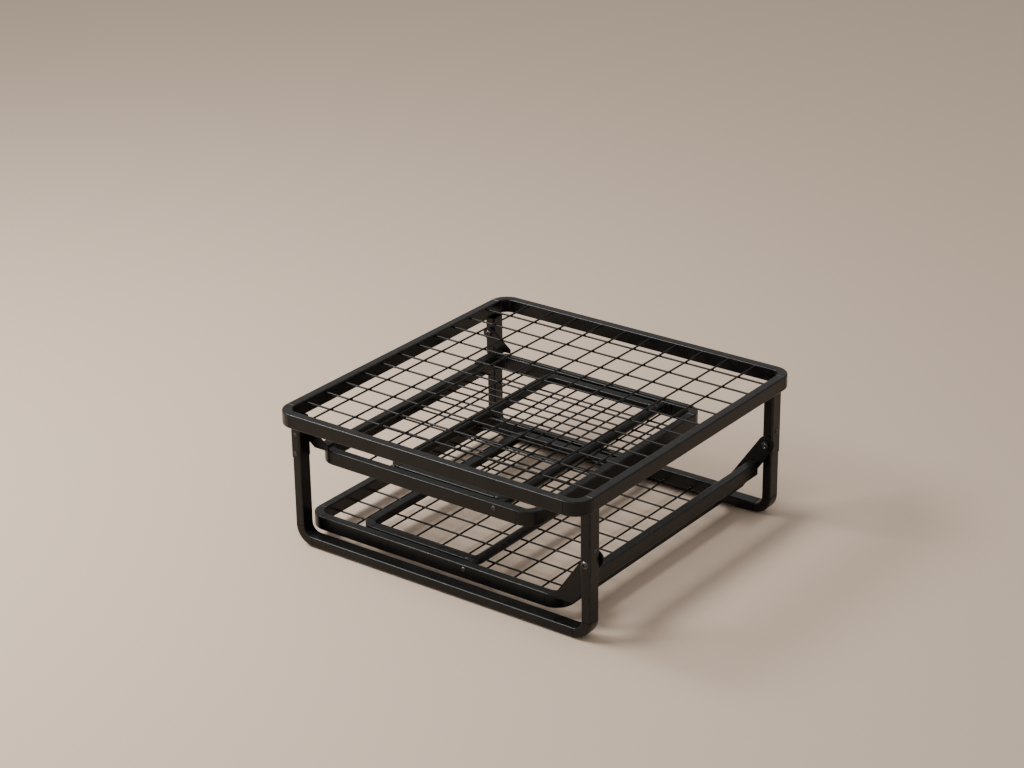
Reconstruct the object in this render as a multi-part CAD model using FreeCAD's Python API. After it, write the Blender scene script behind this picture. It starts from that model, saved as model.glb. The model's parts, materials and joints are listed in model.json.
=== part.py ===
"""Tri-fold mesh cot, folded for storage, standing on the hoops of its centre section.

Frame: origin on the floor under the middle of the centre section, +X towards the foot
hinge, +Y towards the back, +Z up, millimetres.

The head and foot sections lie upside down under the centre section, the head section
above the foot section. Each swings half a turn about a cross axis at its hinge and ends
level with the centre section, and its folding leg opens a quarter turn.
"""
import FreeCAD, Part
import math
import os

from FreeCAD import Vector

# ---- overall sizes ----
deck_length = 735.0          # centre section along X
deck_width = 750.0           # centre section along Y
deck_height = 306.0          # floor to the top of the centre section

# ---- frame tube, the same in all three sections ----
tube_width = 20.0            # in plan
tube_depth = 30.0            # vertical
tube_wall = 1.2
tube_round = 3.0             # outside edge of the tube
weld_groove = 0.7            # chamfer round a tube's end, half of the groove at a butt weld
corner_radius = 40.0         # outside of a corner bend

# ---- wire mesh ----
wire_diameter = 4.0
wire_weld = 0.6              # how deep crossing wires are pressed into each other
wire_setback = 2.5           # from the sleeping face of the frame to the first wire
wire_pitch_across = 58.0     # aim between wires that run along X
wire_pitch_along = 66.0      # aim between wires that run along Y

# ---- hoops that carry the centre section ----
hoop_width = 20.0            # in the plane of the hoop
hoop_thickness = 30.0        # along Y
hoop_radius = 40.0           # outside of a lower bend
hoop_inset_x = 8.0           # from the end of the centre section
hoop_inset_y = 40.0          # from the side of the centre section
pad_height = 3.0
pad_length = 34.0
pad_width = 22.0
pad_offset = 12.0            # from the end of a bend

# ---- sleeves round the upper legs ----
sleeve_wall = 1.5
head_sleeve_reach = 50.0     # how far a sleeve reaches under the head pivot
foot_sleeve_reach = 24.0     # the same under the foot pivot
head_screw_drop = 40.0       # screw under the head pivot, on the sleeve's outer side
foot_screw_rise = 26.0       # screw above the foot pivot, on the sleeve's end
screw_head = 9.0
screw_head_height = 2.0

# ---- hinges ----
hinge_bolt = 8.0
hinge_bolt_head = 15.0
hinge_head_height = 4.0
hinge_nut_size = 13.0
hinge_nut_height = 6.5
running_gap = 0.1            # radial play between a bolt and what turns on it
arm_thickness = 3.5
arm_side_gap = 0.5           # between a sleeve and a hinge arm
head_arm_width = 28.0
head_arm_lean = 52.0         # degrees from the vertical
head_arm_clip = 8.0          # height of the cut lower corner
foot_arm_width = 36.0
foot_arm_lean = 34.5
foot_arm_clip = 16.0
tab_length = 84.0            # along a hinge rail
tie_from_pivot = 43.0        # pivot to the top of the tie bar, vertical
tie_setback = 17.0           # pivot to the near face of the tie bar, horizontal

# ---- places of the folded sections ----
head_gap = 4.0               # between the head and centre sections when open
foot_gap = 61.0              # between the foot and centre sections when open
head_drop = 68.0             # between the centre frame and the folded head frame
foot_floor_gap = 24.0        # under the folded foot frame
head_end_margin = 163.0      # from the far end of the deck to the head frame's end
foot_end_margin = 5.0        # the same at the foot frame's end

# ---- folding legs ----
leg_width = 20.0             # in plan, folded
leg_thickness = 16.0
leg_wall = 1.2
leg_round = 3.0
leg_radius = 30.0            # outside of a bend
leg_wire_gap = 0.4           # from the pivot tube to the wires
leg_tube = 20.0              # diameter of the pivot tube
leg_tube_wall = 1.5
leg_elbow = 20.0             # centre line of the elbows at the pivot tube's ends
leg_tube_gap = 1.0           # from a boss to the bracket
leg_side_gap = 3.5           # from the end of a boss to an arm of the leg
leg_pad_height = 3.0
leg_bolt = 6.0
leg_bolt_head = 10.0
leg_bolt_head_height = 2.0
leg_boss = 13.0              # diameter
leg_boss_length = 24.0
head_leg_margin = 92.0       # pivot to the head frame's end
foot_leg_margin = 399.0      # pivot to the foot frame's end
bracket_length = 44.0
bracket_thickness = 2.5
bracket_margin = 3.0         # from a bracket to the rail's far edge
bracket_wire_gap = 0.6       # from a bracket to the wires

# ---- worked out ----
half_length = deck_length / 2
half_width = deck_width / 2
deck_bottom = deck_height - tube_depth
leg_x = half_length - hoop_inset_x - hoop_width / 2          # centre of a hoop leg
hoop_y = half_width - hoop_inset_y - hoop_thickness / 2      # centre of a hoop
arm_y = hoop_y - hoop_thickness / 2 - sleeve_wall - arm_side_gap   # outer face of an arm
section_half_width = arm_y - arm_thickness
head_bottom = deck_bottom - head_drop - tube_depth
head_axis = Vector(-leg_x, 0, (head_bottom + deck_height) / 2)
foot_axis = Vector(leg_x, 0, (foot_floor_gap + deck_height) / 2)
head_hinge_x = 2 * head_axis.x + half_length + head_gap
head_end_x = half_length - head_end_margin
foot_hinge_x = 2 * foot_axis.x - half_length - foot_gap
foot_end_x = -half_length + foot_end_margin
inner_half_width = section_half_width - tube_width
bracket_y = inner_half_width - bracket_thickness             # inner face of a bracket
leg_tube_end = bracket_y - leg_tube_gap                      # outer end of a boss
leg_half_width = leg_tube_end - leg_side_gap                 # outer face of a leg's arm
wire_depth = wire_setback + 2 * wire_diameter - wire_weld    # from the sleeping face to the last wire
leg_axis_depth = wire_depth + leg_wire_gap + leg_tube / 2    # from the sleeping face to the leg's pivot
leg_length = deck_height - leg_axis_depth                    # leg pivot to floor


def save(name, solids):
    shape = solids if isinstance(solids, Part.Shape) else Part.makeCompound(solids)
    shape.exportStep("parts/" + name + ".step")


def turned(shape, axis, degrees, about=Vector(0, 0, 0)):
    copy = shape.copy()
    copy.rotate(about, axis, degrees)
    return copy


def moved(shape, place):
    copy = shape.copy()
    copy.translate(place)
    return copy


def mirrored_y(shape):
    return shape.mirror(Vector(0, 0, 0), Vector(0, 1, 0))


def rounded_face(width, depth, radius):
    """Rounded rectangle in the XZ plane, about the origin."""
    x = width / 2
    z = depth / 2
    cut = radius * (1 - math.sqrt(0.5))
    edges = []
    for turn, (a, b) in enumerate([(x, z), (z, x), (x, z), (z, x)]):
        side = Part.LineSegment(Vector(a, 0, -b + radius), Vector(a, 0, b - radius)).toShape()
        bend = Part.Arc(
            Vector(a, 0, b - radius), Vector(a - cut, 0, b - cut), Vector(a - radius, 0, b)
        ).toShape()
        for edge in (side, bend):
            edges.append(turned(edge, Vector(0, 1, 0), -90.0 * turn))
    return Part.Face(Part.Wire(Part.__sortEdges__(edges)))


def tube_faces(width, depth, radius, wall):
    inner_radius = max(radius - wall, 0.4)
    outer = rounded_face(width, depth, radius)
    inner = rounded_face(width - 2 * wall, depth - 2 * wall, inner_radius)
    return outer, inner


def straight_y(length, width, depth, radius, wall, groove=0.0):
    """Open tube along Y, centred on the origin; width is along X and depth along Z.

    groove is the chamfer round its ends.
    """
    outer, inner = tube_faces(width, depth, radius, wall)
    run = Vector(0, length, 0)
    solid = outer.extrude(run)
    if groove > 0:
        solid = solid.makeChamfer(groove, [edge for edge in solid.Edges if edge.BoundBox.YLength < 0.01])
    solid = solid.cut(moved(inner, Vector(0, -1, 0)).extrude(run + Vector(0, 2, 0)))
    return moved(solid, Vector(0, -length / 2, 0))


def straight_x(length, *tube):
    return turned(straight_y(length, *tube), Vector(0, 0, 1), 90)


def bend(outer_radius, width, depth, radius, wall, groove=0.0):
    """Quarter bend about Z, from +X round to +Y; its centre is the origin."""
    place = Vector(outer_radius - width / 2, 0, 0)
    solids = []
    for face in tube_faces(width, depth, radius, wall):
        solids.append(moved(face, place).revolve(Vector(0, 0, 0), Vector(0, 0, 1), 90))
    outside, bore = solids
    if groove > 0:
        ends = [edge for edge in outside.Edges if min(edge.BoundBox.XLength, edge.BoundBox.YLength) < 0.01]
        outside = outside.makeChamfer(groove, ends)
    return outside.cut(bore)


def frame_tube():
    return tube_width, tube_depth, tube_round, tube_wall, weld_groove


def section(prefix, left, right, half, bottom, names, bolt_x=None):
    """Four rails and four corner bends round a rectangle.

    bolt_x is where the leg's pivot bolts pass through the front and rear rails.
    """
    middle = bottom + tube_depth / 2
    inner_x = (right - left) / 2 - corner_radius
    inner_y = half - corner_radius
    centre = Vector((left + right) / 2, 0, middle)
    rail = straight_x(2 * inner_x, *frame_tube())
    cross = straight_y(2 * inner_y, *frame_tube())
    rail_y = half - tube_width / 2
    cross_x = (right - left) / 2 - tube_width / 2
    for side, y in (("front", -rail_y), ("rear", rail_y)):
        piece = moved(rail, centre + Vector(0, y, 0))
        if bolt_x is not None:
            base = Vector(bolt_x, y - tube_width, bottom + leg_axis_depth)
            radius = leg_bolt / 2 + running_gap
            piece = piece.cut(Part.makeCylinder(radius, 2 * tube_width, base, Vector(0, 1, 0)))
        save(prefix + "_" + side + "_rail", piece)
    save(prefix + "_" + names[0] + "_rail", moved(cross, centre + Vector(-cross_x, 0, 0)))
    save(prefix + "_" + names[1] + "_rail", moved(cross, centre + Vector(cross_x, 0, 0)))
    corner = bend(corner_radius, *frame_tube())
    corners = [(1, 1, names[1] + "_rear"), (-1, 1, names[0] + "_rear"),
               (-1, -1, names[0] + "_front"), (1, -1, names[1] + "_front")]
    for turn, (sx, sy, name) in enumerate(corners):
        piece = turned(corner, Vector(0, 0, 1), 90 * turn)
        save(prefix + "_" + name + "_bend", moved(piece, centre + Vector(sx * inner_x, sy * inner_y, 0)))


def wire_places(first, last, pitch):
    count = max(round((last - first) / pitch) - 1, 1)
    step = (last - first) / (count + 1)
    return [first + step * (i + 1) for i in range(count)]


def mesh(left, right, half, face_z, inward):
    """Welded grid between the inner faces of a frame.

    face_z is the sleeping face and inward the direction from it into the frame.
    """
    x0 = left + tube_width
    x1 = right - tube_width
    y1 = half - tube_width
    radius = wire_diameter / 2
    upper = face_z + inward * (wire_setback + radius)
    lower = upper + inward * (wire_diameter - wire_weld)
    wires = []
    for y in wire_places(-y1, y1, wire_pitch_across):
        wires.append(Part.makeCylinder(radius, x1 - x0, Vector(x0, y, lower), Vector(1, 0, 0)))
    for x in wire_places(x0, x1, wire_pitch_along):
        wires.append(Part.makeCylinder(radius, 2 * y1, Vector(x, -y1, upper), Vector(0, 1, 0)))
    return wires[0].multiFuse(wires[1:])


def hoop():
    """U of one bent tube in an XZ plane, centred on Y; the open ends meet the deck."""
    tube = (hoop_width, hoop_thickness, tube_round, tube_wall)
    bottom = pad_height + hoop_width / 2
    bend_z = pad_height + hoop_radius
    reach = leg_x + hoop_width / 2 - hoop_radius
    upright = straight_y(deck_bottom - bend_z, *tube)
    upright = turned(upright, Vector(1, 0, 0), 90)
    upright_z = (deck_bottom + bend_z) / 2
    foot_bar = turned(straight_x(2 * reach, *tube), Vector(1, 0, 0), 90)
    corner = turned(bend(hoop_radius, *tube), Vector(1, 0, 0), -90)
    solids = [
        moved(upright, Vector(leg_x, 0, upright_z)),
        moved(upright, Vector(-leg_x, 0, upright_z)),
        moved(foot_bar, Vector(0, 0, bottom)),
        moved(corner, Vector(reach, 0, bend_z)),
        moved(turned(corner, Vector(0, 1, 0), 90), Vector(-reach, 0, bend_z)),
    ]
    return solids[0].multiFuse(solids[1:]).removeSplitter()


def hinge_drills(y_sign):
    """Drills along Y for the two hinge bolts of one hoop."""
    radius = hinge_bolt / 2 + running_gap
    start = hoop_y - hoop_thickness
    drills = []
    for axis in (head_axis, foot_axis):
        base = Vector(axis.x, min(y_sign * start, y_sign * (start + 2 * hoop_thickness)), axis.z)
        drills.append(Part.makeCylinder(radius, 2 * hoop_thickness, base, Vector(0, 1, 0)))
    return drills


def sleeves(y_sign):
    grow = 2 * sleeve_wall
    outer = rounded_face(hoop_width + grow, hoop_thickness + grow, tube_round + sleeve_wall)
    inner = rounded_face(hoop_width, hoop_thickness, tube_round)
    ends = (("left", head_axis, head_sleeve_reach), ("right", foot_axis, foot_sleeve_reach))
    result = {}
    for name, axis, reach in ends:
        low = axis.z - reach
        run = Vector(0, -(deck_bottom - low), 0)
        tube = turned(outer.extrude(run).cut(inner.extrude(run)), Vector(1, 0, 0), -90)
        piece = moved(tube, Vector(axis.x, y_sign * hoop_y, low))
        for drill in hinge_drills(y_sign):
            piece = piece.cut(drill)
        result[name] = piece
    return result


def pads():
    reach = leg_x + hoop_width / 2 - hoop_radius - pad_offset - pad_length
    solids = []
    for x in (-reach - pad_length, reach):
        for y in (-hoop_y, hoop_y):
            pad = Part.makeBox(pad_length, pad_width, pad_height, Vector(x, y - pad_width / 2, 0))
            solids.append(pad)
    return solids


def domed_head(diameter, height, base, direction):
    """Low round head on a face, its rim rounded."""
    head = Part.makeCylinder(diameter / 2, height, base, direction)
    top = base + direction * height
    rim = [edge for edge in head.Edges if edge.BoundBox.DiagonalLength > height
           and (edge.CenterOfMass - top).Length < height / 4]
    return head.makeFillet(height * 0.6, rim)


def hinge_bolts():
    """Bolts and nuts of the two hinges.

    The foot bolts have their heads outside and nuts behind the arms. The head bolts go in
    from inside and end flush in the tapped outer walls of the sleeves.
    """
    bolts = []
    nuts = []
    outward = Vector(0, 1, 0)
    outer = hoop_y + hoop_thickness / 2 + sleeve_wall
    inner = section_half_width
    head_base = Vector(head_axis.x, inner, head_axis.z)
    shank = Part.makeCylinder(hinge_bolt / 2, outer - inner, head_base, outward)
    bolts.append(shank.fuse(domed_head(hinge_bolt_head, hinge_head_height, head_base, -outward)))
    nut_base = Vector(foot_axis.x, inner - hinge_nut_height, foot_axis.z)
    shank = Part.makeCylinder(hinge_bolt / 2, outer - nut_base.y, nut_base, outward)
    head_base = Vector(foot_axis.x, outer, foot_axis.z)
    bolts.append(shank.fuse(domed_head(hinge_bolt_head, hinge_head_height, head_base, outward)))
    nut = moved(hexagon(hinge_nut_size, hinge_nut_height), nut_base)
    nuts.append(nut.cut(Part.makeCylinder(hinge_bolt / 2, hinge_nut_height, nut_base, outward)))
    for group in (bolts, nuts):
        group.extend([mirrored_y(shape) for shape in group])
    return bolts, nuts


def hexagon(across_flats, height):
    """Hexagonal prism along +Y from the origin."""
    radius = across_flats / math.sqrt(3)
    corners = [Vector(radius * math.cos(math.radians(60 * i)), 0, radius * math.sin(math.radians(60 * i)))
               for i in range(7)]
    return Part.Face(Part.makePolygon(corners)).extrude(Vector(0, height, 0))


def sleeve_screws():
    """Screw heads that pin each sleeve to its leg, on its long side at the head and its end at the foot."""
    side = hoop_y + hoop_thickness / 2 + sleeve_wall
    end = leg_x + hoop_width / 2 + sleeve_wall
    head_z = head_axis.z - head_screw_drop
    foot_z = foot_axis.z + foot_screw_rise
    solids = []
    for y_sign in (-1, 1):
        side_base = Vector(head_axis.x, y_sign * side, head_z)
        solids.append(domed_head(screw_head, screw_head_height, side_base, Vector(0, y_sign, 0)))
        end_base = Vector(end, y_sign * hoop_y, foot_z)
        solids.append(domed_head(screw_head, screw_head_height, end_base, Vector(1, 0, 0)))
    return solids


def plate(points, y_near):
    """Flat plate in an XZ plane between y_near and y_near + arm_thickness."""
    outline = [Vector(x, y_near, z) for x, z in points]
    return Part.Face(Part.makePolygon(outline + outline[:1])).extrude(Vector(0, arm_thickness, 0))


def round_end(axis, width, y_near):
    return Part.makeCylinder(width / 2, arm_thickness, Vector(axis.x, y_near, axis.z), Vector(0, 1, 0))


def pivot_hole(axis, y_near):
    base = Vector(axis.x, y_near - 1, axis.z)
    return Part.makeCylinder(hinge_bolt / 2 + running_gap, arm_thickness + 2, base, Vector(0, 1, 0))


def hinge_arm(axis, width, lean_degrees, clip, rail_x, rail_top, y_near, tab_start):
    """Leaning arm from a pivot to a tab that lies on the hinge rail.

    rail_x is the far face of that rail, seen from the pivot.
    """
    inward = -1 if axis.x > 0 else 1
    lean = math.radians(lean_degrees)
    side = width / 2
    reach = side / math.cos(lean)
    middle = (axis.z - rail_top) * math.tan(lean)
    far = middle + reach - clip * math.tan(lean)
    outline = [
        (side * math.cos(lean), axis.z + side * math.sin(lean)),
        (far, rail_top + clip),
        (far, rail_top),
        (middle - reach, rail_top),
        (-side * math.cos(lean), axis.z - side * math.sin(lean)),
    ]
    solid = plate([(axis.x + inward * x, z) for x, z in outline], y_near)
    solid = solid.fuse(round_end(axis, width, y_near))
    tab_near = axis.x + inward * (middle - reach)
    tab_x = min(tab_near, rail_x)
    tab = Part.makeBox(abs(rail_x - tab_near), tab_length, arm_thickness, Vector(tab_x, tab_start, rail_top))
    return solid.fuse(tab).cut(pivot_hole(axis, y_near)).removeSplitter()


def tie_bar():
    top = foot_axis.z - tie_from_pivot
    bar = straight_y(2 * section_half_width, *frame_tube())
    return moved(bar, Vector(foot_axis.x - tie_setback - tube_width / 2, 0, top - tube_depth / 2))


def leg_hoop(pivot_x, axis_z):
    """Folded leg: two arms along X from the pivot tube's elbows, two bends and a foot bar along Y."""
    tube = (leg_width, leg_thickness, leg_round, leg_wall)
    foot_x = pivot_x - leg_length + leg_pad_height           # outer face of the foot bar
    arm_end = pivot_x - leg_elbow
    arm_length = arm_end - foot_x - leg_radius
    arm = straight_x(arm_length, *tube)
    side = leg_half_width - leg_width / 2
    inner_y = leg_half_width - leg_radius
    corner = bend(leg_radius, *tube)
    solids = [
        moved(straight_y(2 * inner_y, *tube), Vector(foot_x + leg_width / 2, 0, 0)),
        moved(arm, Vector(arm_end - arm_length / 2, side, 0)),
        moved(arm, Vector(arm_end - arm_length / 2, -side, 0)),
        moved(turned(corner, Vector(0, 0, 1), 90), Vector(foot_x + leg_radius, inner_y, 0)),
        moved(turned(corner, Vector(0, 0, 1), 180), Vector(foot_x + leg_radius, -inner_y, 0)),
    ]
    return moved(solids[0].multiFuse(solids[1:]).removeSplitter(), Vector(0, 0, axis_z))


def leg_pads(pivot_x, axis_z):
    foot_x = pivot_x - leg_length
    side = leg_half_width - leg_radius - pad_offset - pad_length
    width = leg_thickness - 4
    solids = []
    for y in (-side - pad_length, side):
        corner = Vector(foot_x, y, axis_z - width / 2)
        solids.append(Part.makeBox(leg_pad_height, pad_length, width, corner))
    return solids


def leg_pivot_tube(pivot_x, axis_z):
    """Round tube on the pivot axis with an elbow at each end, drilled for the bosses."""
    straight = leg_half_width - leg_width / 2 - leg_elbow
    shapes = []
    for radius in (leg_tube / 2, leg_tube / 2 - leg_tube_wall):
        run = Part.makeCylinder(radius, 2 * straight, Vector(pivot_x, -straight, axis_z), Vector(0, 1, 0))
        circle = Part.makeCircle(radius, Vector(leg_elbow, 0, 0), Vector(0, 1, 0))
        elbow = Part.Face(Part.Wire(circle)).revolve(Vector(0, 0, 0), Vector(0, 0, 1), 90)
        elbow = moved(elbow, Vector(pivot_x - leg_elbow, straight, axis_z))
        shapes.append(run.multiFuse([elbow, mirrored_y(elbow)]))
    outside, bore = shapes
    tube = outside.cut(bore)
    for boss in leg_bosses(pivot_x, axis_z, 0):
        tube = tube.cut(boss)
    return tube


def leg_bosses(pivot_x, axis_z, bore_radius):
    """Bosses welded through the elbows, on the pivot axis."""
    base = Vector(pivot_x, leg_tube_end - leg_boss_length, axis_z)
    boss = Part.makeCylinder(leg_boss / 2, leg_boss_length, base, Vector(0, 1, 0))
    if bore_radius > 0:
        boss = boss.cut(Part.makeCylinder(bore_radius, leg_boss_length, base, Vector(0, 1, 0)))
    return [boss, mirrored_y(boss)]


def leg_bolts(pivot_x, axis_z):
    start = leg_tube_end - leg_boss_length
    base = Vector(pivot_x, start, axis_z)
    shank = Part.makeCylinder(leg_bolt / 2, section_half_width - start, base, Vector(0, 1, 0))
    head_base = Vector(pivot_x, section_half_width, axis_z)
    head = domed_head(leg_bolt_head, leg_bolt_head_height, head_base, Vector(0, 1, 0))
    bolt = shank.fuse(head)
    return [bolt, mirrored_y(bolt)]


def leg_brackets(pivot_x, bottom):
    """Doubling plates inside the side rails, where the leg's bolts pass through, clear of the wires."""
    low = bottom + wire_depth + bracket_wire_gap
    height = bottom + tube_depth - bracket_margin - low
    corner = Vector(pivot_x - bracket_length / 2, bracket_y, low)
    bracket = Part.makeBox(bracket_length, bracket_thickness, height, corner)
    upright = [edge for edge in bracket.Edges if edge.BoundBox.YLength > bracket_thickness / 2]
    bracket = bracket.makeFillet(height / 4, upright)
    base = Vector(pivot_x, bracket_y - 1, bottom + leg_axis_depth)
    hole = Part.makeCylinder(leg_bolt / 2 + running_gap, bracket_thickness + 2, base, Vector(0, 1, 0))
    bracket = bracket.cut(hole)
    return [bracket, mirrored_y(bracket)]


def build():
    os.makedirs("parts", exist_ok=True)
    head_leg_x = head_end_x - head_leg_margin
    foot_leg_x = foot_end_x + foot_leg_margin

    folded = section_half_width
    section("centre", -half_length, half_length, half_width, deck_bottom, ("left", "right"))
    section("head", head_hinge_x, head_end_x, folded, head_bottom, ("hinge", "end"), head_leg_x)
    section("foot", foot_end_x, foot_hinge_x, folded, foot_floor_gap, ("end", "hinge"), foot_leg_x)
    save("centre_mesh", mesh(-half_length, half_length, half_width, deck_height, -1))
    save("head_mesh", mesh(head_hinge_x, head_end_x, folded, head_bottom, 1))
    save("foot_mesh", mesh(foot_end_x, foot_hinge_x, folded, foot_floor_gap, 1))

    support = hoop()
    for side, y_sign in (("front", -1), ("rear", 1)):
        piece = moved(support, Vector(0, y_sign * hoop_y, 0))
        for drill in hinge_drills(y_sign):
            piece = piece.cut(drill)
        save(side + "_hoop", piece)
        for end, sleeve in sleeves(y_sign).items():
            save(side + "_" + end + "_sleeve", sleeve)
    save("floor_pads", pads())
    save("sleeve_screws", sleeve_screws())
    bolts, nuts = hinge_bolts()
    save("hinge_bolts", bolts)
    save("hinge_nuts", nuts)

    near_y = -arm_y
    far_y = section_half_width
    head_form = (head_axis, head_arm_width, head_arm_lean, head_arm_clip)
    foot_form = (foot_axis, foot_arm_width, foot_arm_lean, foot_arm_clip)
    head_rail = (head_hinge_x + tube_width, head_bottom + tube_depth)
    foot_rail = (foot_hinge_x - tube_width, foot_floor_gap + tube_depth)
    for name, form, rail in (("head", head_form, head_rail), ("foot", foot_form, foot_rail)):
        save(name + "_front_arm", hinge_arm(*form, *rail, near_y, near_y))
        save(name + "_rear_arm", hinge_arm(*form, *rail, far_y, arm_y - tab_length))
    save("foot_tie_bar", tie_bar())

    for name, pivot_x, bottom in (("head", head_leg_x, head_bottom), ("foot", foot_leg_x, foot_floor_gap)):
        axis_z = bottom + leg_axis_depth
        save(name + "_leg_hoop", leg_hoop(pivot_x, axis_z))
        save(name + "_leg_pads", leg_pads(pivot_x, axis_z))
        save(name + "_leg_tube", leg_pivot_tube(pivot_x, axis_z))
        save(name + "_leg_bosses", leg_bosses(pivot_x, axis_z, leg_bolt / 2 + running_gap))
        save(name + "_leg_bolts", leg_bolts(pivot_x, axis_z))
        save(name + "_leg_brackets", leg_brackets(pivot_x, bottom))
        print(name, "leg pivot", round(pivot_x, 3), 0, round(axis_z, 3))
    print("head pivot", round(head_axis.x, 3), round(head_axis.z, 3))
    print("foot pivot", round(foot_axis.x, 3), round(foot_axis.z, 3))


build()
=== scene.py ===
import json
import math
import bmesh
import bpy
from mathutils import Matrix, Vector


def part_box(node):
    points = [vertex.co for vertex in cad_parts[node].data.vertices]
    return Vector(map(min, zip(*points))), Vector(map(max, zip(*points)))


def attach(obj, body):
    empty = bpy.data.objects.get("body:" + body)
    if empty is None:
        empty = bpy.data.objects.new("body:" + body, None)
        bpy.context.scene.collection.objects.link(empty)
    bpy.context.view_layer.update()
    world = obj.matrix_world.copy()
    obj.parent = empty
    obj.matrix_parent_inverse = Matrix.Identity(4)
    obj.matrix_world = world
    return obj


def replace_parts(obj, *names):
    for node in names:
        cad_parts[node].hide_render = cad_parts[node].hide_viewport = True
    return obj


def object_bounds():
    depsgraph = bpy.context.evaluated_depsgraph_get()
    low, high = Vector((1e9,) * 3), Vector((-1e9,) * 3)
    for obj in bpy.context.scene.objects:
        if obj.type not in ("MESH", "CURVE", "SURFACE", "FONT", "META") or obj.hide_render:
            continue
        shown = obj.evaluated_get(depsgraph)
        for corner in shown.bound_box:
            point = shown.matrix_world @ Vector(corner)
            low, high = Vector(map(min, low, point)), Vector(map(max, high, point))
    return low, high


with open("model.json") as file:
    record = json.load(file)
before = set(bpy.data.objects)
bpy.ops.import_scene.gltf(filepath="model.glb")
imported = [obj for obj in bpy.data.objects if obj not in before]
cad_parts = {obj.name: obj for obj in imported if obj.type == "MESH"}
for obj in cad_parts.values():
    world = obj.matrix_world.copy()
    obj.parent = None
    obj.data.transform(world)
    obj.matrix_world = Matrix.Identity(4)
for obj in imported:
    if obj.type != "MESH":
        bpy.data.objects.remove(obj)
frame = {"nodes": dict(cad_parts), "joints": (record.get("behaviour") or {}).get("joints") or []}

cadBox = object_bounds()
nodes = frame["nodes"]
mm = 0.001
jointAt = {joint["name"]: Vector(joint["pos_m"]) for joint in frame["joints"]}
print("frame loaded,", len(nodes), "nodes")


def finishPiece(name, bm, material, body, sharpAngle=38):
    bmesh.ops.recalc_face_normals(bm, faces=bm.faces)
    mesh = bpy.data.meshes.new(name)
    bm.to_mesh(mesh)
    bm.free()
    for face in mesh.polygons:
        face.use_smooth = True
    mesh.set_sharp_from_angle(angle=math.radians(sharpAngle))
    mesh.materials.append(material)
    piece = bpy.data.objects.new(name, mesh)
    bpy.context.scene.collection.objects.link(piece)
    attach(piece, body)
    return piece


def axisFrame(direction):
    # two vectors square to a direction
    along = Vector(direction).normalized()
    side = along.orthogonal().normalized()
    return along, side, along.cross(side)


def roundShape(angle):
    return 1.0


def hexShape(angle):
    # corner radius 1, flats at the hexagon's apothem
    step = math.radians(60)
    return math.cos(step / 2) / math.cos((angle % step) - step / 2)


def crossShape(angle):
    return 0.62 + 0.38 * abs(math.cos(2 * angle)) ** 3


def turnedBody(bm, base, direction, rings, steps=24):
    # rings are (height, radius, shape); one face closes each of the two end rings
    along, side, up = axisFrame(direction)
    loops = []
    for height, radius, shape in rings:
        loop = []
        for i in range(steps):
            angle = 2 * math.pi * i / steps
            reach = radius * shape(angle)
            offset = side * math.cos(angle) * reach + up * math.sin(angle) * reach
            loop.append(bm.verts.new(base + along * height + offset))
        loops.append(loop)
    for low, high in zip(loops, loops[1:]):
        for i in range(steps):
            j = (i + 1) % steps
            bm.faces.new((low[i], low[j], high[j], high[i]))
    bm.faces.new(list(reversed(loops[0])))
    bm.faces.new(loops[-1])


def roundedBlock(bm, low, high, radius, steps=3):
    # a box with every edge rounded
    size = high - low
    made = bmesh.ops.create_cube(bm, size=1.0)
    verts = made["verts"]
    bmesh.ops.scale(bm, vec=size, verts=verts)
    bmesh.ops.translate(bm, vec=(low + high) / 2, verts=verts)
    edges = list({edge for vert in verts for edge in vert.link_edges})
    bmesh.ops.bevel(bm, geom=edges, offset=radius, segments=steps, profile=0.5, affect="EDGES")


def beadRun(bm, start, end, radius, ripple=1.9 * mm, steps=8):
    # a welded bead laid from start to end, in overlapping ripples
    along, side, up = axisFrame(end - start)
    length = (end - start).length
    count = max(int(length / ripple) * 4, 8)
    loops = []
    for k in range(count + 1):
        t = k / count
        taper = math.sqrt(max(1 - (2 * t - 1) ** 8, 0.02))
        wave = 0.90 + 0.10 * abs(math.sin(math.pi * t * length / ripple))
        reach = radius * taper * wave
        centre = start + along * (length * t)
        loop = []
        for i in range(steps):
            angle = 2 * math.pi * i / steps
            loop.append(bm.verts.new(centre + (side * math.cos(angle) + up * math.sin(angle)) * reach))
        loops.append(loop)
    for low, high in zip(loops, loops[1:]):
        for i in range(steps):
            j = (i + 1) % steps
            bm.faces.new((low[i], low[j], high[j], high[i]))
    bm.faces.new(list(reversed(loops[0])))
    bm.faces.new(loops[-1])


def mirrorY(point):
    return Vector((point.x, -point.y, point.z))


def newNode(tree, kind, **inputs):
    node = tree.nodes.new(kind)
    for key, value in inputs.items():
        node.inputs[key].default_value = value
    return node


def mathNode(tree, operation, first, second=0.0):
    node = tree.nodes.new("ShaderNodeMath")
    node.operation = operation
    for index, value in enumerate((first, second)):
        if isinstance(value, (int, float)):
            node.inputs[index].default_value = value
        else:
            tree.links.new(value, node.inputs[index])
    return node.outputs[0]


def noiseNode(tree, point, scale, detail=3.0, rough=0.55):
    node = newNode(tree, "ShaderNodeTexNoise", Scale=scale, Detail=detail, Roughness=rough)
    tree.links.new(point, node.inputs["Vector"])
    return node.outputs["Fac"]


def rangeNode(tree, value, fromLow, fromHigh, toLow, toHigh):
    node = tree.nodes.new("ShaderNodeMapRange")
    node.clamp = True
    tree.links.new(value, node.inputs["Value"])
    limits = {"From Min": fromLow, "From Max": fromHigh, "To Min": toLow, "To Max": toHigh}
    for key, number in limits.items():
        node.inputs[key].default_value = number
    return node.outputs["Result"]


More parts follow.
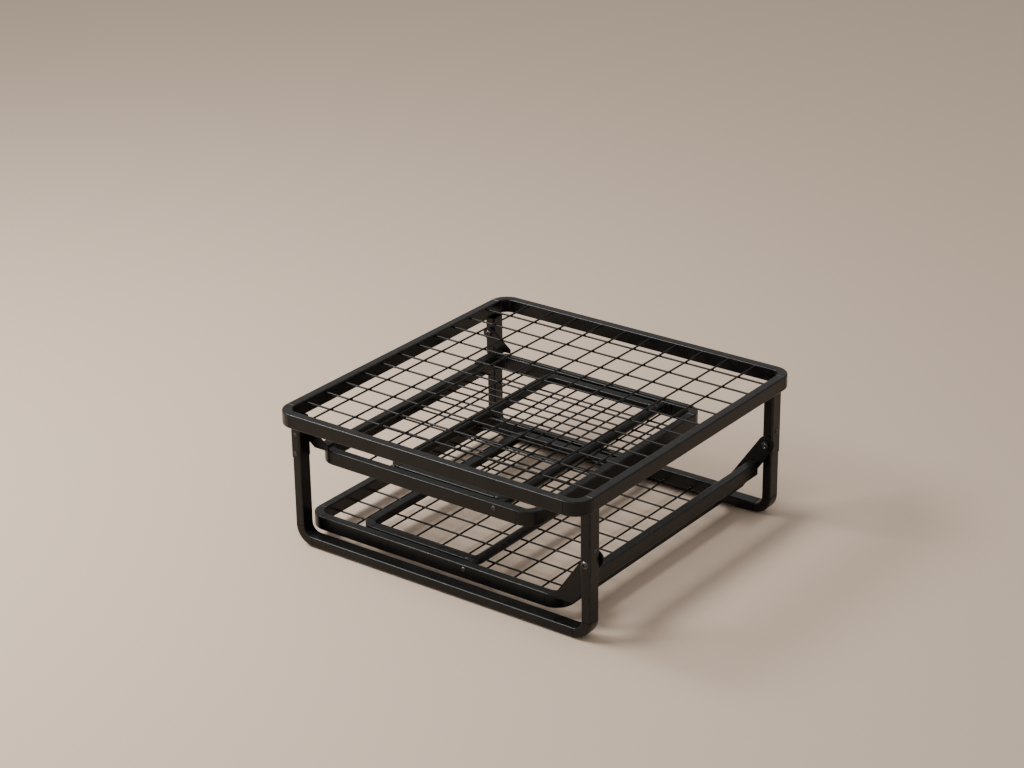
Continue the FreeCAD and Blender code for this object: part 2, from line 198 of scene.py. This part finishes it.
def mixColours(tree, share, first, second):
    node = tree.nodes.new("ShaderNodeMix")
    node.data_type = "RGBA"
    tree.links.new(share, node.inputs["Factor"])
    for socket, value in ((node.inputs[6], first), (node.inputs[7], second)):
        if isinstance(value, tuple):
            socket.default_value = (*value, 1.0)
        else:
            tree.links.new(value, socket)
    return node.outputs[2]


def edgeShare(tree, normal, flatAxis):
    # 0 on a tube's flats, 1 on its rounded edges; flatAxis is square to the plane the tube bends in
    parts = tree.nodes.new("ShaderNodeSeparateXYZ")
    tree.links.new(normal, parts.inputs[0])
    squares = {}
    for axis in "XYZ":
        squares[axis] = mathNode(tree, "MULTIPLY", parts.outputs[axis], parts.outputs[axis])
    others = [axis for axis in "XYZ" if axis != flatAxis]
    inPlane = mathNode(tree, "ADD", squares[others[0]], squares[others[1]])
    flattest = mathNode(tree, "MAXIMUM", inPlane, squares[flatAxis])
    return rangeNode(tree, flattest, 0.55, 0.97, 1.0, 0.0)


def coatMaterial(name, look):
    material = bpy.data.materials.new(name)
    material.use_nodes = True
    tree = material.node_tree
    shader = tree.nodes["Principled BSDF"]
    place = tree.nodes.new("ShaderNodeTexCoord")
    point = place.outputs["Object"]
    grain = noiseNode(tree, point, look["grainScale"], 2.0)
    cloud = noiseNode(tree, point, look["cloudScale"], 4.0)
    rub = noiseNode(tree, point, look["rubScale"], 5.0, 0.7)

    # slow tone changes over the coat, then thin lighter colour along the rounded edges, partly wear and
    # partly a painted highlight, then settled dust
    tone = rangeNode(tree, cloud, 0.35, 0.65, 0.0, 1.0)
    colour = mixColours(tree, tone, look["dark"], look["light"])
    edges = edgeShare(tree, place.outputs["Normal"], look["flatAxis"])
    patchy = rangeNode(tree, rub, 0.44, 0.62, 0.15, 1.0)
    wear = mathNode(tree, "MULTIPLY", edges, patchy)
    colour = mixColours(tree, mathNode(tree, "MULTIPLY", wear, look["wear"]), colour, look["worn"])
    normalParts = tree.nodes.new("ShaderNodeSeparateXYZ")
    tree.links.new(place.outputs["Normal"], normalParts.inputs[0])
    facingUp = rangeNode(tree, normalParts.outputs["Z"], 0.85, 1.0, 0.0, 1.0)
    dust = mathNode(tree, "MULTIPLY", facingUp, rangeNode(tree, rub, 0.35, 0.75, 0.0, look["dust"]))
    colour = mixColours(tree, dust, colour, look["dustColour"])
    tree.links.new(colour, shader.inputs["Base Color"])

    gloss = rangeNode(tree, cloud, 0.3, 0.7, look["roughLow"], look["roughHigh"])
    gloss = mathNode(tree, "ADD", gloss, rangeNode(tree, grain, 0.3, 0.7, -0.03, 0.03))
    gloss = mathNode(tree, "SUBTRACT", gloss, mathNode(tree, "MULTIPLY", wear, look["wearShine"]))
    tree.links.new(gloss, shader.inputs["Roughness"])
    shader.inputs["Metallic"].default_value = look["metal"]
    shader.inputs["Specular IOR Level"].default_value = look["specular"]

    bump = newNode(tree, "ShaderNodeBump", Strength=look["bump"], Distance=look["bumpDepth"])
    tree.links.new(grain, bump.inputs["Height"])
    tree.links.new(bump.outputs["Normal"], shader.inputs["Normal"])
    return material


# the lighter colour on the rounded edges is partly wear and partly a painted highlight along those edges
powderCoat = {
    "dark": (0.0022, 0.0022, 0.0022), "light": (0.0052, 0.0052, 0.0051), "worn": (0.055, 0.055, 0.054),
    "dustColour": (0.16, 0.155, 0.145), "wear": 0.5, "wearShine": 0.06, "dust": 0.07,
    "grainScale": 1300.0, "cloudScale": 22.0, "rubScale": 90.0,
    "roughLow": 0.27, "roughHigh": 0.35, "metal": 0.0, "specular": 0.24,
    "bump": 0.16, "bumpDepth": 0.00025, "flatAxis": "Z",
}


def coatLike(name, **changes):
    # the powder coat with some of its values changed
    return coatMaterial(name, {**powderCoat, **changes})


deckCoat = coatLike("deckPowderCoat")
hoopCoat = coatLike("hoopPowderCoat", flatAxis="Y", cloudScale=17.0)
plateCoat = coatLike("platePowderCoat", flatAxis="Y", roughLow=0.38, roughHigh=0.5, cloudScale=40.0)
legCoat = coatLike("legPowderCoat", roughLow=0.30, roughHigh=0.40, cloudScale=30.0)
wireCoat = coatLike("wirePowderCoat", wear=0.0, dust=0.04, roughLow=0.36, roughHigh=0.48,
                    grainScale=2200.0, rubScale=160.0)
weldCoat = coatLike("weldPowderCoat", wear=0.25, dust=0.03, roughLow=0.42, roughHigh=0.55, bump=0.3)
# painted shade: near-black rings stand in for the shade in the groove at each tube joint
seamShadePaint = coatLike("seamShadow", dark=(0.0004, 0.0004, 0.0004), light=(0.0010, 0.0010, 0.0010),
                    wear=0.0, dust=0.0, roughLow=0.7, roughHigh=0.85, specular=0.1)
boltSteel = coatLike("blackenedSteel", dark=(0.035, 0.035, 0.037), light=(0.075, 0.075, 0.078),
                     worn=(0.42, 0.42, 0.41), wear=0.8, metal=0.85, cloudScale=160.0, rubScale=420.0,
                     roughLow=0.24, roughHigh=0.36, bump=0.08)
padPlastic = coatLike("mouldedPlastic", dark=(0.009, 0.009, 0.009), light=(0.016, 0.016, 0.016),
                      worn=(0.05, 0.05, 0.048), wear=0.35, roughLow=0.58, roughHigh=0.72,
                      grainScale=1800.0, bump=0.35, specular=0.35)


def materialFor(name):
    if "mesh" in name:
        return wireCoat
    if "hoop" in name and "leg" not in name or "sleeve" in name:
        return hoopCoat
    if "arm" in name or "bracket" in name:
        return plateCoat
    if "pads" in name:
        return padPlastic
    if "bolt" in name or "nut" in name or "screw" in name:
        return boltSteel
    if "leg" in name:
        return legCoat
    return deckCoat


for name, cadNode in nodes.items():
    if not cadNode.data.materials:
        cadNode.data.materials.append(None)
    for index in range(len(cadNode.material_slots)):
        cadNode.material_slots[index].link = "OBJECT"
        cadNode.material_slots[index].material = materialFor(name)
print("materials set")


stageLook = {"floorSize": 60.0, "floorColour": (0.66, 0.515, 0.40, 1.0), "floorRough": 0.62,
             "floorSpecular": 0.25, "wallColour": (0.80, 0.78, 0.755, 1.0), "skyStrength": 0.62}


def makeFloor():
    bm = bmesh.new()
    bmesh.ops.create_grid(bm, x_segments=8, y_segments=8, size=stageLook["floorSize"] / 2)
    mesh = bpy.data.meshes.new("paleFloor")
    bm.to_mesh(mesh)
    bm.free()
    material = bpy.data.materials.new("paleFloorPaint")
    material.use_nodes = True
    shader = material.node_tree.nodes["Principled BSDF"]
    shader.inputs["Base Color"].default_value = stageLook["floorColour"]
    shader.inputs["Roughness"].default_value = stageLook["floorRough"]
    shader.inputs["Specular IOR Level"].default_value = stageLook["floorSpecular"]
    mesh.materials.append(material)
    floor = bpy.data.objects.new("paleFloor", mesh)
    bpy.context.scene.collection.objects.link(floor)


def makeSky():
    world = bpy.data.worlds.new("softRoom")
    bpy.context.scene.world = world
    world.use_nodes = True
    background = world.node_tree.nodes["Background"]
    background.inputs["Color"].default_value = stageLook["wallColour"]
    background.inputs["Strength"].default_value = stageLook["skyStrength"]


def makeLight(name, look):
    data = bpy.data.lights.new(name, "AREA")
    data.shape = "RECTANGLE"
    data.size, data.size_y = look["size"]
    data.energy = look["power"]
    data.color = look["colour"]
    lamp = bpy.data.objects.new(name, data)
    bpy.context.scene.collection.objects.link(lamp)
    direction = Vector(look["towards"]).normalized()
    lamp.location = lookAt + direction * look["distance"]
    lamp.rotation_euler = direction.to_track_quat("Z", "Y").to_euler()


lookAt = (Vector(cadBox[0]) + Vector(cadBox[1])) / 2
lights = {
    "windowLight": {"towards": (-0.58, -0.36, 0.73), "distance": 3.4, "size": (2.2, 1.0), "power": 150.0,
                    "colour": (1.0, 0.985, 0.96)},
    "fillLight": {"towards": (0.15, -0.85, 0.5), "distance": 5.0, "size": (3.5, 2.5), "power": 26.0,
                  "colour": (1.0, 0.97, 0.94)},
}
cameraLook = {"azimuth": 36.87, "elevation": 23.73, "roll": -0.78, "distance": 5.584, "lens": 89.7,
              "sensor": 36.0, "aim": Vector((-0.3296, 0.3539, -0.0448))}


def makeCamera():
    azimuth = math.radians(cameraLook["azimuth"])
    elevation = math.radians(cameraLook["elevation"])
    roll = math.radians(cameraLook["roll"])
    back = Vector((math.sin(azimuth) * math.cos(elevation), -math.cos(azimuth) * math.cos(elevation),
                   math.sin(elevation)))
    right = (-back).cross(Vector((0, 0, 1))).normalized()
    up = right.cross(-back)
    rolledRight = right * math.cos(roll) + up * math.sin(roll)
    rolledUp = up * math.cos(roll) - right * math.sin(roll)
    data = bpy.data.cameras.new("viewCamera")
    data.lens = cameraLook["lens"]
    data.sensor_width = cameraLook["sensor"]
    data.clip_end = 200.0
    camera = bpy.data.objects.new("viewCamera", data)
    bpy.context.scene.collection.objects.link(camera)
    turn = Matrix((rolledRight, rolledUp, back)).transposed().to_4x4()
    place = lookAt + cameraLook["aim"] + back * cameraLook["distance"]
    camera.matrix_world = Matrix.Translation(place) @ turn
    bpy.context.scene.camera = camera


makeFloor()
makeSky()
for name, look in lights.items():
    makeLight(name, look)
makeCamera()
print("stage set")


nugget = {"spread": 3.1 * mm, "rise": 1.5 * mm, "steps": 8, "endCollar": 1.5 * mm, "endLength": 2.2 * mm,
          "wireRadius": 2 * mm, "wireGap": 6 * mm}


def wireLines(name):
    # wire positions read from the ends of the wires in the CAD node
    low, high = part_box(name)
    acrossY, acrossX = [], []
    for vert in nodes[name].data.vertices:
        if abs(vert.co.x - low.x) < 1e-5:
            acrossY.append((vert.co.y, vert.co.z))
        if abs(vert.co.y - low.y) < 1e-5:
            acrossX.append((vert.co.x, vert.co.z))
    return centresOf(acrossY), centresOf(acrossX), low, high


def centresOf(points):
    # middle of each wire's end; two points further apart than the gap are on different wires
    points = sorted(points)
    groups = [[points[0]]]
    for point in points[1:]:
        if point[0] - groups[-1][-1][0] > nugget["wireGap"]:
            groups.append([])
        groups[-1].append(point)
    centres = []
    for group in groups:
        first = [p[0] for p in group]
        second = [p[1] for p in group]
        centres.append(((min(first) + max(first)) / 2, (min(second) + max(second)) / 2))
    return centres


def makeWireWelds(name, body):
    alongX, alongY, low, high = wireLines(name)
    bm = bmesh.new()
    for y, zLow in alongX:
        for x, zHigh in alongY:
            made = bmesh.ops.create_uvsphere(bm, u_segments=nugget["steps"], v_segments=5, radius=1.0)
            spread = Matrix.Diagonal((nugget["spread"], nugget["spread"], nugget["rise"], 1.0))
            turn = Matrix.Rotation(math.radians(22.5), 4, "Z")
            place = Matrix.Translation((x, y, (zLow + zHigh) / 2))
            bmesh.ops.transform(bm, matrix=place @ turn @ spread, verts=made["verts"])
    wireRadius = nugget["wireRadius"]
    ends = []
    for y, z in alongX:
        ends += [(Vector((low.x, y, z)), Vector((1, 0, 0))), (Vector((high.x, y, z)), Vector((-1, 0, 0)))]
    for x, z in alongY:
        ends += [(Vector((x, low.y, z)), Vector((0, 1, 0))), (Vector((x, high.y, z)), Vector((0, -1, 0)))]
    for base, direction in ends:
        rings = [(0.0, wireRadius + nugget["endCollar"], roundShape),
                 (nugget["endLength"] * 0.35, wireRadius + nugget["endCollar"] * 0.55, roundShape),
                 (nugget["endLength"], wireRadius + 0.1 * mm, roundShape)]
        turnedBody(bm, base, direction, rings, 10)
    finishPiece(name + "_welds", bm, weldCoat, body, 60)


for part in ("centre", "head", "foot"):
    makeWireWelds(part + "_mesh", part + "_section")
print("wire welds made")


buttonHead = {"radius": 7.5 * mm, "height": 4.0 * mm, "socket": 2.9 * mm, "depth": 2.2 * mm,
              "shank": 4.0 * mm, "rim": 0.35 * mm}
hingeNut = {"flats": 13.0 * mm, "height": 6.5 * mm, "bore": 4.1 * mm}
hingeWasher = {"radius": 8.3 * mm, "topRadius": 7.9 * mm, "edge": 0.5 * mm, "height": 0.8 * mm}
sleeveScrew = {"radius": 4.5 * mm, "height": 2.0 * mm, "underHeadHinge": 40 * mm, "overFootHinge": 26 * mm}
legRivet = {"radius": 5.0 * mm, "height": 2.0 * mm, "shank": 3.0 * mm}


def buttonBolt(bm, base, direction, shankLength, look):
    # domed head with a hexagon socket, the shank running back from the head's underside
    radius, height, socket = look["radius"], look["height"], look["socket"]
    shank, rim = look["shank"], look["rim"]
    rings = [(-shankLength, shank - 0.5 * mm, roundShape), (-shankLength + 0.5 * mm, shank, roundShape),
             (0.0, shank, roundShape), (0.0, radius - 0.3 * mm, roundShape), (rim, radius, roundShape)]
    for k in range(1, 6):
        angle = math.radians(15 * k)
        reach = socket * 1.15 + (radius - socket * 1.15) * math.cos(angle)
        rings.append((rim + (height - rim) * math.sin(angle), reach, roundShape))
    bottom = height - look["depth"]
    rings += [(height, socket * 1.18, roundShape), (height - 0.25 * mm, socket, hexShape),
              (bottom, socket, hexShape), (bottom - 0.4 * mm, 0.4 * mm, roundShape)]
    turnedBody(bm, base, direction, rings, 36)


def hexNut(bm, base, direction, flats, height, bore):
    corner = flats / math.sqrt(3)
    rings = [(0.0, bore, roundShape), (0.0, flats * 0.48, roundShape), (0.6 * mm, corner, hexShape),
             (height - 0.6 * mm, corner, hexShape), (height, flats * 0.48, roundShape),
             (height, bore + 0.4 * mm, roundShape), (height - 0.5 * mm, bore, roundShape),
             (height - 0.7 * mm, bore * 0.5, roundShape)]
    turnedBody(bm, base, direction, rings, 36)


def crossScrew(bm, base, direction, radius, height):
    rings = [(0.0, radius - 0.2 * mm, roundShape), (0.3 * mm, radius, roundShape),
             (height * 0.62, radius * 0.93, roundShape), (height * 0.9, radius * 0.72, roundShape),
             (height, radius * 0.58, roundShape), (height, radius * 0.5, crossShape),
             (height - 0.9 * mm, radius * 0.36, crossShape), (height - 1.1 * mm, radius * 0.1, roundShape)]
    turnedBody(bm, base, direction, rings, 32)


def rivetHead(bm, base, direction, radius, height):
    rings = [(0.0, radius, roundShape), (height * 0.25, radius, roundShape),
             (height * 0.6, radius * 0.88, roundShape), (height * 0.88, radius * 0.6, roundShape),
             (height, radius * 0.34, roundShape), (height * 0.86, radius * 0.22, roundShape)]
    turnedBody(bm, base, direction, rings, 28)


def makeHingeBolts():
    # the head hinge's bolts go in from inside; the foot hinge's go in from outside, to a nut
    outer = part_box("rear_left_sleeve")[1].y
    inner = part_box("head_rear_rail")[1].y
    headAxis, footAxis = jointAt["head_hinge"], jointAt["foot_hinge"]
    length, nutHeight = outer - inner, hingeNut["height"]
    radius, edge = hingeWasher["radius"], hingeWasher["edge"]
    washerRings = [(0.0, radius, roundShape), (edge, radius, roundShape),
                   (hingeWasher["height"], hingeWasher["topRadius"], roundShape)]
    bm = bmesh.new()
    nutMesh = bmesh.new()
    washers = bmesh.new()
    for sign in (-1, 1):
        inward, outward = Vector((0, -sign, 0)), Vector((0, sign, 0))
        headInside = Vector((headAxis.x, sign * inner, headAxis.z))
        footInside = Vector((footAxis.x, sign * inner, footAxis.z))
        footOutside = Vector((footAxis.x, sign * outer, footAxis.z))
        buttonBolt(bm, headInside, inward, length, buttonHead)
        buttonBolt(bm, footOutside, outward, length + nutHeight, buttonHead)
        hexNut(nutMesh, footInside, inward, hingeNut["flats"], nutHeight, hingeNut["bore"])
        turnedBody(washers, footOutside, outward, washerRings, 32)
    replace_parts(finishPiece("hinge_bolt_set", bm, boltSteel, "centre_section"), "hinge_bolts")
    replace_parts(finishPiece("hinge_nut_set", nutMesh, boltSteel, "centre_section"), "hinge_nuts")
    finishPiece("hinge_washers", washers, boltSteel, "centre_section")


def makeSleeveScrews():
    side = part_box("rear_left_sleeve")[1].y
    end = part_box("rear_right_sleeve")[1].x
    headAxis, footAxis = jointAt["head_hinge"], jointAt["foot_hinge"]
    hoopY = (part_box("rear_left_sleeve")[0].y + side) / 2
    radius, height = sleeveScrew["radius"], sleeveScrew["height"]
    headZ = headAxis.z - sleeveScrew["underHeadHinge"]
    footZ = footAxis.z + sleeveScrew["overFootHinge"]
    bm = bmesh.new()
    for sign in (-1, 1):
        crossScrew(bm, Vector((headAxis.x, sign * side, headZ)), (0, sign, 0), radius, height)
        crossScrew(bm, Vector((end, sign * hoopY, footZ)), (1, 0, 0), radius, height)
    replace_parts(finishPiece("sleeve_screw_set", bm, boltSteel, "centre_section"), "sleeve_screws")


def makeLegBolts(prefix):
    low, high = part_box(prefix + "_leg_bolts")
    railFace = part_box(prefix + "_rear_rail")[1].y
    centre = (low + high) / 2
    shankStart = min(v.co.y for v in nodes[prefix + "_leg_bolts"].data.vertices if v.co.y > 0)
    radius = legRivet["shank"]
    shank = [(shankStart - railFace, radius, roundShape), (0.0, radius, roundShape)]
    bm = bmesh.new()
    for sign in (-1, 1):
        outward = Vector((0, sign, 0))
        base = Vector((centre.x, sign * railFace, centre.z))
        rivetHead(bm, base, outward, legRivet["radius"], legRivet["height"])
        turnedBody(bm, base, outward, shank, 20)
    piece = finishPiece(prefix + "_leg_bolt_set", bm, boltSteel, prefix + "_section")
    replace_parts(piece, prefix + "_leg_bolts")


makeHingeBolts()
makeSleeveScrews()
for prefix in ("head", "foot"):
    makeLegBolts(prefix)
print("fasteners made")


pad = {"round": 1.1 * mm, "ribs": 5, "ribDepth": 0.5 * mm, "ribInset": 2 * mm}


def makePads(nodeName, body, wearAxis):
    # one rounded pad, with ribs on the face that meets the floor, for each solid of the node
    bm = bmesh.new()
    for low, high in solidBoxes(nodeName):
        base = low.copy()
        base[wearAxis] += pad["ribDepth"]
        roundedBlock(bm, base, high, pad["round"])
        longAxis = max((0, 1, 2), key=lambda axis: high[axis] - low[axis])
        pitch = (high[longAxis] - low[longAxis]) / pad["ribs"]
        for k in range(pad["ribs"]):
            ribLow, ribHigh = low.copy(), high.copy()
            for axis in range(3):
                if axis != wearAxis:
                    ribLow[axis] += pad["ribInset"]
                    ribHigh[axis] -= pad["ribInset"]
            ribHigh[wearAxis] = low[wearAxis] + pad["ribDepth"] * 3
            ribLow[longAxis] = low[longAxis] + pitch * (k + 0.22)
            ribHigh[longAxis] = low[longAxis] + pitch * (k + 0.78)
            roundedBlock(bm, ribLow, ribHigh, pad["ribDepth"] * 0.6, 2)
    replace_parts(finishPiece(nodeName + "_moulded", bm, padPlastic, body), nodeName)


def solidBoxes(name):
    # the box of each loose solid in a node
    bm = bmesh.new()
    bm.from_mesh(nodes[name].data)
    bmesh.ops.remove_doubles(bm, verts=bm.verts, dist=1e-6)
    left = set(bm.verts)
    boxes = []
    while left:
        stack = [left.pop()]
        found = []
        while stack:
            vert = stack.pop()
            found.append(vert.co.copy())
            for edge in vert.link_edges:
                other = edge.other_vert(vert)
                if other in left:
                    left.remove(other)
                    stack.append(other)
        low = Vector([min(co[axis] for co in found) for axis in range(3)])
        high = Vector([max(co[axis] for co in found) for axis in range(3)])
        boxes.append((low, high))
    bm.free()
    return sorted(boxes, key=lambda item: tuple(item[0]))


makePads("floor_pads", "centre_section", 2)
makePads("head_leg_pads", "head_leg", 0)
makePads("foot_leg_pads", "foot_leg", 0)
print("pads made")


seam = {"width": 1.7 * mm, "proud": 0.16 * mm, "corner": 3.0 * mm, "steps": 5,
        "tube": 20 * mm, "hoopBend": 40 * mm, "legBend": 30 * mm}


def seamRing(bm, centre, direction, across, halfAcross, halfUp):
    # a thin ring round a rounded rectangular tube, painted dark as the shade in the joint's groove; across
    # is one of the tube's flat directions
    along = Vector(direction).normalized()
    side = Vector(across).normalized()
    up = along.cross(side)
    corner = seam["corner"]
    outline = []
    for quarter in range(4):
        signSide = 1 if quarter in (0, 3) else -1
        signUp = 1 if quarter in (0, 1) else -1
        for k in range(seam["steps"] + 1):
            angle = math.radians(90 * quarter + 90 * k / seam["steps"])
            normal = side * math.cos(angle) + up * math.sin(angle)
            point = side * signSide * (halfAcross - corner) + up * signUp * (halfUp - corner)
            outline.append((point + normal * corner, normal))
    profile = [(-0.5, -0.3), (-0.3, 1.0), (0.3, 1.0), (0.5, -0.3)]
    loops = []
    for shift, rise in profile:
        step = along * shift * seam["width"]
        loops.append([bm.verts.new(centre + point + normal * rise * seam["proud"] + step)
                      for point, normal in outline])
    count = len(outline)
    for low, high in zip(loops, loops[1:] + loops[:1]):
        for i in range(count):
            j = (i + 1) % count
            bm.faces.new((low[i], low[j], high[j], high[i]))


def makeHoopSeams():
    # two dark seam rings, painted shade of the joint grooves, at each lower bend of both hoops
    bend, tube = seam["hoopBend"], seam["tube"]
    bm = bmesh.new()
    for name in ("front_hoop", "rear_hoop"):
        low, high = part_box(name)
        half = (high.y - low.y) / 2
        y = (low.y + high.y) / 2
        for edge, inward in ((low.x, 1), (high.x, -1)):
            upright = Vector((edge + inward * tube / 2, y, low.z + bend))
            seamRing(bm, upright, (0, 0, 1), (1, 0, 0), tube / 2, half)
            level = Vector((edge + inward * bend, y, low.z + tube / 2))
            seamRing(bm, level, (1, 0, 0), (0, 0, 1), tube / 2, half)
    finishPiece("hoop_seams", bm, seamShadePaint, "centre_section", 60)


def makeLegSeams(prefix):
    # two dark seam rings, painted shade of the joint grooves, at each bend of a folded leg
    bend, tube = seam["legBend"], seam["tube"]
    low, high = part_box(prefix + "_leg_hoop")
    half = (high.z - low.z) / 2
    z = (low.z + high.z) / 2
    bm = bmesh.new()
    for edge, inward in ((low.y, 1), (high.y, -1)):
        onArm = Vector((low.x + bend, edge + inward * tube / 2, z))
        seamRing(bm, onArm, (1, 0, 0), (0, 1, 0), tube / 2, half)
        onFootBar = Vector((low.x + tube / 2, edge + inward * bend, z))
        seamRing(bm, onFootBar, (0, 1, 0), (1, 0, 0), tube / 2, half)
    finishPiece(prefix + "_leg_seams", bm, seamShadePaint, prefix + "_leg", 60)


makeHoopSeams()
for prefix in ("head", "foot"):
    makeLegSeams(prefix)
print("seams made")


bead = {"plate": 1.5 * mm, "sleeve": 1.1 * mm, "leg": 1.6 * mm, "corner": 2 * mm,
        "sleeveInset": 3 * mm, "barInset": 4 * mm, "tabStart": 24 * mm}


def bothSides(runs):
    return runs + [(mirrorY(start), mirrorY(end)) for start, end in runs]


def makeBeads(name, runs, radius, body):
    bm = bmesh.new()
    for start, end in runs:
        beadRun(bm, start, end, radius)
    finishPiece(name, bm, weldCoat, body, 60)


def makeSleeveBeads():
    # round the top of each sleeve, under the deck rail
    runs = []
    for name in ("front_left_sleeve", "front_right_sleeve", "rear_left_sleeve", "rear_right_sleeve"):
        low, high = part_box(name)
        inset = bead["sleeveInset"]
        for x in (low.x, high.x):
            runs.append((Vector((x, low.y + inset, high.z)), Vector((x, high.y - inset, high.z))))
        for y in (low.y, high.y):
            runs.append((Vector((low.x + inset, y, high.z)), Vector((high.x - inset, y, high.z))))
    makeBeads("sleeve_beads", runs, bead["sleeve"], "centre_section")


def tabRuns(armName, railName):
    # along both sides and the end of the tab that lies on a hinge rail
    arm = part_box(armName)
    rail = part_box(railName)
    top = rail[1].z
    end = arm[0].y
    start = rail[1].y + bead["tabStart"]
    corner = bead["corner"]
    left, right = rail[0].x, rail[1].x
    runs = [(Vector((x, end + corner, top)), Vector((x, start, top))) for x in (left, right)]
    runs.append((Vector((left + corner, end, top)), Vector((right - corner, end, top))))
    return runs


def makeArmBeads():
    runs = tabRuns("head_rear_arm", "head_hinge_rail")
    makeBeads("head_arm_beads", bothSides(runs), bead["plate"], "head_section")
    low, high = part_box("foot_tie_bar")
    inset = bead["barInset"]
    runs = tabRuns("foot_rear_arm", "foot_hinge_rail")
    runs.append((Vector((low.x, high.y, low.z + inset)), Vector((low.x, high.y, high.z - inset))))
    makeBeads("foot_arm_beads", bothSides(runs), bead["plate"], "foot_section")


def makeLegBeads(prefix):
    # across each arm of the leg, where it meets the elbow of the pivot tube
    low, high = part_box(prefix + "_leg_hoop")
    corner = bead["corner"]
    yStart, yEnd = high.y - seam["tube"] + corner, high.y - corner
    runs = [(Vector((high.x, yStart, z)), Vector((high.x, yEnd, z))) for z in (low.z, high.z)]
    makeBeads(prefix + "_leg_beads", bothSides(runs), bead["leg"], prefix + "_leg")


makeSleeveBeads()
makeArmBeads()
for prefix in ("head", "foot"):
    makeLegBeads(prefix)
print("beads made")


spacer = {"radius": 8.2 * mm, "bore": 6.6 * mm, "length": 2.6 * mm, "round": 0.5 * mm}


def makeSpacers(prefix):
    # a plastic collar round the end of each boss
    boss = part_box(prefix + "_leg_bosses")
    centre = (boss[0] + boss[1]) / 2
    radius, edge, length = spacer["radius"], spacer["round"], spacer["length"]
    bm = bmesh.new()
    for sign in (-1, 1):
        rings = [(-length, spacer["bore"], roundShape), (-length, radius - edge, roundShape),
                 (-length + edge, radius, roundShape), (-edge, radius, roundShape),
                 (0.0, radius - edge, roundShape), (0.0, spacer["bore"], roundShape)]
        turnedBody(bm, Vector((centre.x, sign * boss[1].y, centre.z)), (0, sign, 0), rings, 36)
    finishPiece(prefix + "_pivot_spacers", bm, padPlastic, prefix + "_leg")


for prefix in ("head", "foot"):
    makeSpacers(prefix)
print("spacers made")
